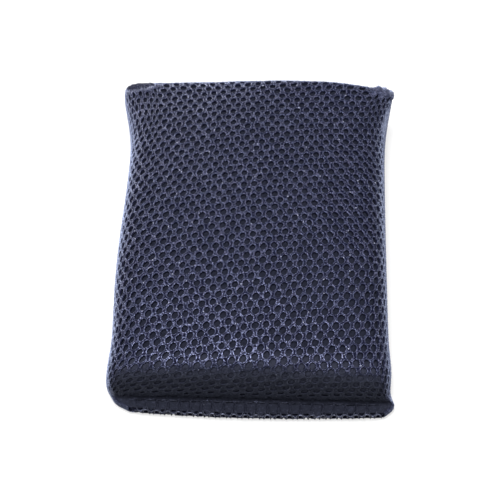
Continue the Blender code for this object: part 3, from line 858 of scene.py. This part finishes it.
def mesh_fabric():
    """Knitted polyester: glossy yarn loops round each hole, with dark gaps and loops between."""
    n = Nodes(bpy.data.materials.new("navy_mesh_fabric"))
    ring, plain = n.attribute("ring"), n.attribute("plain")
    fabric = n.uv("fabric")

    # single stitches round the hole, strands that are bright or dull, and larger patches
    local = n.apart(n.uv("knit"))
    angle = n.math("ARCTAN2", local["Y"], local["X"])
    turned = n.line(angle, 13.0, n.times(n.apart(n.uv("cell"))["X"], 6.28))
    stitch = n.line(n.math("SINE", turned), 0.5, 0.5)
    strands = n.add("ShaderNodeTexVoronoi", {"Vector": fabric, "Scale": 3.0, "Randomness": 1.0},
                    voronoi_dimensions="2D", feature="F1")
    chance = n.colours(strands.outputs["Color"])
    patch = n.add("ShaderNodeTexNoise", {"Vector": fabric, "Scale": 0.5, "Detail": 1.0},
                  noise_dimensions="2D").outputs["Fac"]
    round_strand = n.ramp(strands.outputs["Distance"], 0.5, 0.08)
    bright = n.ramp(chance["Red"], 0.5, 1.0)
    on_ring = n.ramp(ring, 0.35, 0.85)
    off_wall = n.ramp(ring, -0.1, 0.25)
    wall = n.ramp(ring, -0.05, -0.75)

    # how much of the yarn shows its light side
    web = n.times(n.times(bright, 0.68), off_wall)
    thread = n.times(on_ring, n.line(bright, 0.8, 0.2))
    thread = n.times(thread, n.line(stitch, 0.4, 0.7))
    lit = n.times(n.most(thread, web), n.line(round_strand, 0.45, 0.6))
    lit = n.times(lit, n.line(patch, 0.8, 0.52))
    lit = n.times(n.math("POWER", lit, 1.5), 1.25)

    tint = n.ramp(chance["Green"], 0.35, 0.65)
    shade = n.mix(tint, linear(15, 18, 37), linear(19, 20, 36))
    light = n.mix(tint, linear(84, 91, 120), linear(96, 95, 123))
    colour = n.mix(lit, shade, light)
    speck = n.ramp(chance["Blue"], 0.9975, 0.9985)
    colour = n.mix(n.times(speck, off_wall), colour, linear(150, 153, 172))
    # painted shade over the front wall and the lip, with painted light in the groove at the lip's
    # root
    front_shade_colour = n.mix(n.attribute("pale"), linear(38, 40, 49), linear(62, 65, 77))
    colour = n.mix(n.times(plain, 0.82), colour, front_shade_colour)
    colour = n.mix(wall, colour, linear(33, 35, 50))

    # gloss and sheen belong to the yarn, and most to its light strands seen from the side
    grazing = n.add("ShaderNodeLayerWeight", {"Blend": 0.5}).outputs["Facing"]
    yarn_share = n.times(n.ramp(ring, 0.02, 0.4), n.line(plain, -0.9, 1.0))
    yarn_share = n.times(yarn_share, n.line(bright, 0.7, 0.6))
    edge = n.times(n.ramp(grazing, 0.42, 0.8), yarn_share)
    gloss = n.line(lit, 2.2, n.line(on_ring, 0.38, 0.03))
    gloss = n.times(gloss, n.line(plain, -0.7, 1.0))
    gloss = n.line(edge, n.line(bright, 0.5, 0.5), gloss)
    gloss = n.line(wall, 0.5, gloss, clamp=True)
    rough = n.line(wall, 0.2, n.line(n.ramp(lit, 0.35, 0.0), 0.3, 0.28))
    height = n.math("ADD", n.times(stitch, 0.4), n.times(round_strand, 0.8))
    return n.set(Base_Color=colour, Roughness=rough, Normal=n.bump(height, 0.25, 0.0001),
                 Specular_IOR_Level=gloss, Specular_Tint=linear(192, 200, 244),
                 Sheen_Weight=n.times(n.ramp(grazing, 0.28, 0.75), yarn_share),
                 Sheen_Roughness=0.6, Sheen_Tint=linear(184, 196, 232))


def foam_material():
    """Dark open-cell foam. Behind the front wall it is lighter, which is painted light that lifts
    the shade in that wall's holes.
    """
    n = Nodes(bpy.data.materials.new("dark_foam"))
    where = n.add("ShaderNodeTexCoord").outputs["Object"]
    pores = n.add("ShaderNodeTexVoronoi", {"Vector": where, "Scale": 900.0, "Randomness": 1.0})
    pore = n.ramp(pores.outputs["Distance"], 0.1, 0.6)
    # painted light: the foam is lighter behind the front wall
    front = n.ramp(n.apart(where)["Y"], -0.052, -0.059)
    colour = n.mix(front, n.mix(pore, linear(17, 19, 29), linear(25, 27, 38)),
                   n.mix(pore, linear(35, 37, 48), linear(45, 47, 59)))
    return n.set(Base_Color=colour, Roughness=0.9, Normal=n.bump(pore, 0.5, 0.0004),
                 Specular_IOR_Level=0.3, Specular_Tint=linear(198, 207, 240))


def thread_material():
    """Seam yarn, which is as light as its points' painted highlights say, with a painted light and
    dark side to it.
    """
    n = Nodes(bpy.data.materials.new("navy_seam_thread"))
    where = n.add("ShaderNodeTexCoord").outputs["Object"]
    strands = n.add("ShaderNodeTexVoronoi", {"Vector": where, "Scale": 3500.0})
    chance = n.colours(strands.outputs["Color"])["Red"]
    lit = n.times(n.attribute("light"), n.line(chance, 0.9, 0.3), clamp=True)
    return n.set(Base_Color=n.mix(lit, linear(14, 16, 26), linear(156, 162, 194)),
                 Roughness=0.45, Normal=n.bump(chance, 0.4, 0.0001),
                 Specular_IOR_Level=n.line(lit, 0.7, 0.03))


def floor_material():
    """It looks white to the camera and in gloss, and gives back little light."""
    n = Nodes(bpy.data.materials.new("pale_floor"))
    seen = n.seen()
    colour = n.mix(seen, (FLOOR_GREY_GIVEN,) * 3 + (1,), (FLOOR_GREY,) * 3 + (1,))
    return n.set(Base_Color=colour, Roughness=0.9, Specular_IOR_Level=0.0,
                 Emission_Color=(1, 1, 1, 1), Emission_Strength=n.times(seen, FLOOR_GLOW))


FABRIC = mesh_fabric()
FOAM = foam_material()
THREAD = thread_material()


# ---- pieces

def stand_for(piece, node):
    """Puts a piece in the place of a CAD node: the piece joins the root body and the node is
    hidden.
    """
    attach(piece, "root")
    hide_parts(node)


def make_cover(fabric):
    knit = Knit(fabric)
    u = knit.middle[:, 0]
    quarter = knit.girth / 4
    for name, chosen in (("cover_top_left", (u >= -quarter) & (u < 0)),
                         ("cover_top_right", (u >= 0) & (u < quarter)),
                         ("cover_base_left", u < -quarter),
                         ("cover_base_right", u >= quarter)):
        stand_for(knit.piece(name, chosen), "mesh_cover")


def remesh(obj, voxel):
    """Puts an even mesh of the same shape in the place of the object's own."""
    modifier = obj.modifiers.new("remesh", "REMESH")
    modifier.mode, modifier.voxel_size = "VOXEL", voxel
    modifier.use_smooth_shade = True
    graph = bpy.context.evaluated_depsgraph_get()
    mesh = bpy.data.meshes.new_from_object(obj.evaluated_get(graph))
    old = obj.data
    obj.modifiers.clear()
    obj.data = mesh
    bpy.data.meshes.remove(old)
    mesh.name = obj.name
    return mesh


def make_foam(surface):
    """The foam fills the bag and is pressed into all its corners, so it follows the inside of
    the cover, and round the turned-in rear seam."""
    s = np.linspace(FOAM_START, surface.rows - 1.0, 150)
    g = np.arange(0, surface.around, 0.2)
    ss, gg = pairs(s, g)
    points, normals = surface.at(ss, gg)
    depth = fabric_depth(ss) + FOAM_CLEARANCE + FOAM_SEAM_ROOM * smooth(*FOAM_SEAM, ss)
    points -= normals * depth[:, None]
    rows, around = len(s), len(g)
    tail = points[-around:] - np.array([0.0, FOAM_TAIL, 0.0])
    points = np.concatenate([points, tail, [points[:around].mean(0), tail.mean(0)]])
    ids = np.arange((rows + 1) * around).reshape(rows + 1, around)
    quads = np.roll(strip_between(ids[1:], ids[:-1]), 1, 1)
    hub_front, hub_rear = (np.full(around, len(points) - k) for k in (2, 1))
    caps = np.concatenate([np.stack([hub_front, ids[0], onward(ids[0])], -1),
                           np.stack([hub_rear, onward(ids[-1]), ids[-1]], -1)])
    piece = mesh_object("foam_block", points, [quads, caps], material=FOAM)
    mesh = remesh(piece, FOAM_VOXEL * MM)
    co = np.zeros(len(mesh.vertices) * 3, np.float32)
    mesh.vertices.foreach_get("co", co)
    rng = np.random.default_rng(SEED + 2)
    mesh.vertices.foreach_set("co", co + rng.normal(0, FOAM_GRAIN * MM,
                                                    co.shape).astype(np.float32))
    mesh.update()
    stand_for(piece, "foam_core")


class Lip:
    """Places on the flat lip: x across, s from its open edge (0) to its root."""

    ENDS = 0.6  # of a ply's share of the loop that are left out, where it bends round

    def __init__(self, surface):
        self.surface = surface
        self.xs = np.linspace(-44, 45, 268)
        self.ss = np.linspace(0, LIP_ROOT, 35)
        quarter = surface.around / 4
        self.tables = {}
        for side, first in ((1, quarter), (-1, -quarter)):
            g = np.linspace(first + self.ENDS, first + 2 * quarter - self.ENDS, 300)
            rows = []
            for s in self.ss:
                x = surface.at(np.full(len(g), s), g % surface.around)[0][:, 0]
                order = np.argsort(x)
                rows.append(np.interp(self.xs, x[order], g[order]))
            self.tables[side] = np.array(rows)

    def at(self, x, s, side):
        """The point and the outward normal on the upper (1) or the lower (-1) ply."""
        i = np.clip(np.interp(x, self.xs, np.arange(len(self.xs))), 0, len(self.xs) - 1.001)
        j = np.clip(s / self.ss[1], 0, len(self.ss) - 1.001)
        i0, j0 = i.astype(int), j.astype(int)
        fi, fj = i - i0, j - j0
        table = self.tables[side]
        g = lerp(lerp(table[j0, i0], table[j0, i0 + 1], fi),
                 lerp(table[j0 + 1, i0], table[j0 + 1, i0 + 1], fi), fj)
        return self.surface.at(s, g % self.surface.around)

    def on_ply(self, x, s, side, stand_off):
        """One place on a ply or above it."""
        point, normal = self.at(np.array([x]), np.array([s]), side)
        return (point + normal * stand_off)[0]

    def at_edge(self, x, level, out):
        """One place before the lip's open edge: level runs from -1 at the lower ply's outer
        face to 1 at the upper one's."""
        top, low = (self.on_ply(x, 0.0, side, 0.0) for side in (1, -1))
        middle, half = (top + low) / 2, (top[2] - low[2]) / 2
        return np.array([x, middle[1] - out, middle[2] + half * level])


def rounded(points, values, step=0.16):
    """A smooth path through points in even steps, with the values carried along."""
    ends = extended(points)
    chord = np.linalg.norm(np.diff(points, axis=0), axis=1)
    t = np.concatenate([np.linspace(i, i + 1, max(2, int(c / step)), endpoint=False)
                        for i, c in enumerate(chord)] + [[len(points) - 1.0]])
    i = np.minimum(t.astype(int), len(points) - 2)
    f = (t - i)[:, None]
    a, b, c, d = (ends[i + k] for k in range(4))
    path = 0.5 * (2 * b + (c - a) * f + (2 * a - 5 * b + 4 * c - d) * f ** 2
                  + (3 * b - a - 3 * c + d) * f ** 3)
    return path, np.interp(t, np.arange(len(points)), values)


def yarn(name, strands, radius, twist=2.2, sides=9):
    """Three-ply yarn along each path of strands, as one object. A path has its points and how
    light the yarn is there, as a painted highlight."""
    points, faces, caps, tones = [], [], [], []
    total = 0
    turn = np.arange(sides) / sides * 2 * math.pi
    for path, light in strands:
        path, light = rounded(path, light)
        ahead = unit(np.gradient(path, axis=0))
        up = np.array([0.0, 0.0, 1.0])
        ups = []
        for way in ahead:
            up = up - way * up.dot(way)
            up /= max(np.linalg.norm(up), 1e-9)
            ups.append(up)
        up = np.array(ups)
        side = np.cross(ahead, up)
        plies = np.cos(3 * (turn - twist * path_length(path)[:, None]))
        ring = path[:, None] + (radius * (0.86 + 0.2 * plies))[..., None] * (
            np.cos(turn)[:, None] * up[:, None] + np.sin(turn)[:, None] * side[:, None])
        count = len(path)
        ids = total + np.arange(count * sides).reshape(count, sides)
        total += count * sides + 2
        faces.append(strip_between(ids[:-1], ids[1:]))
        caps.append(np.stack([np.full(sides, total - 2), onward(ids[0]), ids[0]], -1))
        caps.append(np.stack([np.full(sides, total - 1), ids[-1], onward(ids[-1])], -1))
        points += [ring.reshape(-1, 3), path[:1], path[-1:]]
        # each ply gets a painted light and dark side
        tones += [(light[:, None] * (0.75 + 0.25 * plies)).ravel(), light[:1] * 0.5,
                  light[-1:] * 0.5]
    return mesh_object(name, np.concatenate(points),
                       [np.concatenate(faces), np.concatenate(caps)],
                       tones={"light": np.concatenate(tones)}, material=THREAD)


def overlock(lip, rng):
    """The paths of the two looper threads and of the needle thread that close the lip."""
    start = THREAD_END_MARGIN - (HALF_WIDTH - LIP_LEFT_INSET)
    end = HALF_WIDTH - LIP_RIGHT_INSET - THREAD_END_MARGIN
    count = round((end - start) / CLOSING_STITCH)
    pitch = (end - start) / count

    def uneven(size):
        return rng.uniform(-size, size)

    def looper(side, to_needle, arch, shift):
        """The stitch goes from the needle thread to the arch and back the same way. Of a place
        there is the share of the pitch, then on the ply the distance from the edge and None, or
        before the edge the level and how far out, and at last the tone, a painted highlight that
        is strongest on the arch over the edge."""
        path = []
        low = 0.12 + 0.09 * side
        for k in range(count):
            deep = to_needle + uneven(0.12)
            half = ((0.06, deep - 0.4, None, 0.12), (0.13, 0.5, None, 0.1),
                    (0.2, 0.9 * side, low, 0.25),
                    (0.33, arch + 0.3 * side, 0.27 + low / 2, 0.9))
            back = [(1 - share, *rest) for share, *rest in reversed(half)]
            for share, place, out, tone in ((0.0, deep, None, 0.25), *half,
                                            (0.5, arch, ARCH_OUT, 1.0), *back):
                x = start + (k + shift + share) * pitch + uneven(0.08 if out is None else 0.06)
                point = (lip.on_ply(x, place, side, 0.07 + uneven(0.03)) if out is None
                         else lip.at_edge(x, place + uneven(0.06), out))
                path.append((*point, tone))
        path = np.array(path)
        return path[:, :3], path[:, 3] * rng.uniform(*LOOPER_TONE, len(path))

    loopers = [looper(*how) for how in LOOPERS]
    path, light = [], []
    for k in range(count + 1):
        for share, out, tone in NEEDLE_STITCH:
            x = min(start + (k + share) * pitch, end + 0.4)
            point = lip.on_ply(x, NEEDLE_LINE + 0.1 * (share - 0.5), 1, out)
            path.append(point + [0, uneven(0.05), 0])
            light.append(tone * rng.uniform(*NEEDLE_TONE))
    return loopers, [(np.array(path), np.array(light))]


def make_closing_thread(surface):
    loopers, needle = overlock(Lip(surface), np.random.default_rng(SEED + 3))
    for name, strands, radius in (("closing_loops", loopers, LOOPER_RADIUS),
                                  ("closing_stitches", needle, NEEDLE_RADIUS)):
        stand_for(yarn(name, strands, radius), "closing_thread")


def show_rear_thread():
    """The CAD's own thread, with the better material."""
    node = frame["nodes"]["rear_seam_thread"]
    node.data.materials.clear()
    node.data.materials.append(THREAD)


# ---- stage, lights and camera

def stage():
    """A white sweep."""
    profile = [(-FLOOR_SIZE, 0.0)]
    profile += [(FLOOR_SIZE + FLOOR_BEND * math.sin(a), FLOOR_BEND * (1 - math.cos(a)))
                for a in np.linspace(0, math.pi / 2, 12)]
    profile.append((FLOOR_SIZE + FLOOR_BEND, BACK_HEIGHT))
    points = [(x, y, z) for y, z in profile for x in (-FLOOR_SIZE * 1.5, FLOOR_SIZE * 1.5)]
    faces = [[2 * i, 2 * i + 1, 2 * i + 3, 2 * i + 2] for i in range(len(profile) - 1)]
    floor = mesh_object("floor", np.array(points) / MM, [np.array(faces)],
                        material=floor_material())


def soft_light(name, place, size, power):
    """A round lamp that is aimed at the middle of the sponge's underside."""
    lamp = bpy.data.lights.new(name, "AREA")
    lamp.shape, lamp.size, lamp.energy = "DISK", size, power
    add_object(name, lamp, place, -Vector(place))


def world():
    studio = bpy.data.worlds.new("studio")
    n = Nodes(studio)
    strength = n.add("ShaderNodeMapRange", {"Value": n.seen(), "To Min": WORLD_LIGHT,
                                            "To Max": 1.0}).outputs["Result"]
    n.set(Color=(1, 1, 1, 1), Strength=strength)
    bpy.context.scene.world = studio


def camera():
    """The photograph's view: from above the front edge, almost square on."""
    elevation, azimuth, distance = math.radians(51.0), math.radians(-1.6), 0.6325
    focal, image = 1842.0, 500.0
    look, centre = Vector((0, 0, 0.013)), (254.0, 237.9)
    forward = Vector((math.sin(azimuth) * math.cos(elevation),
                      math.cos(azimuth) * math.cos(elevation), -math.sin(elevation)))
    lens = bpy.data.cameras.new("camera")
    lens.sensor_width, lens.lens = 36.0, focal / image * 36.0
    lens.shift_x, lens.shift_y = 0.5 - centre[0] / image, centre[1] / image - 0.5
    lens.clip_start, lens.clip_end = 0.01, 20.0
    bpy.context.scene.camera = add_object("camera", lens, look - forward * distance, forward)


bag = Surface(cover_cage())
make_cover(Fabric(bag))
make_foam(bag)
make_closing_thread(bag)
show_rear_thread()
stage()
world()
for lamp in LAMPS:
    soft_light(*lamp)
camera()
bpy.context.scene.view_settings.view_transform = "Standard"
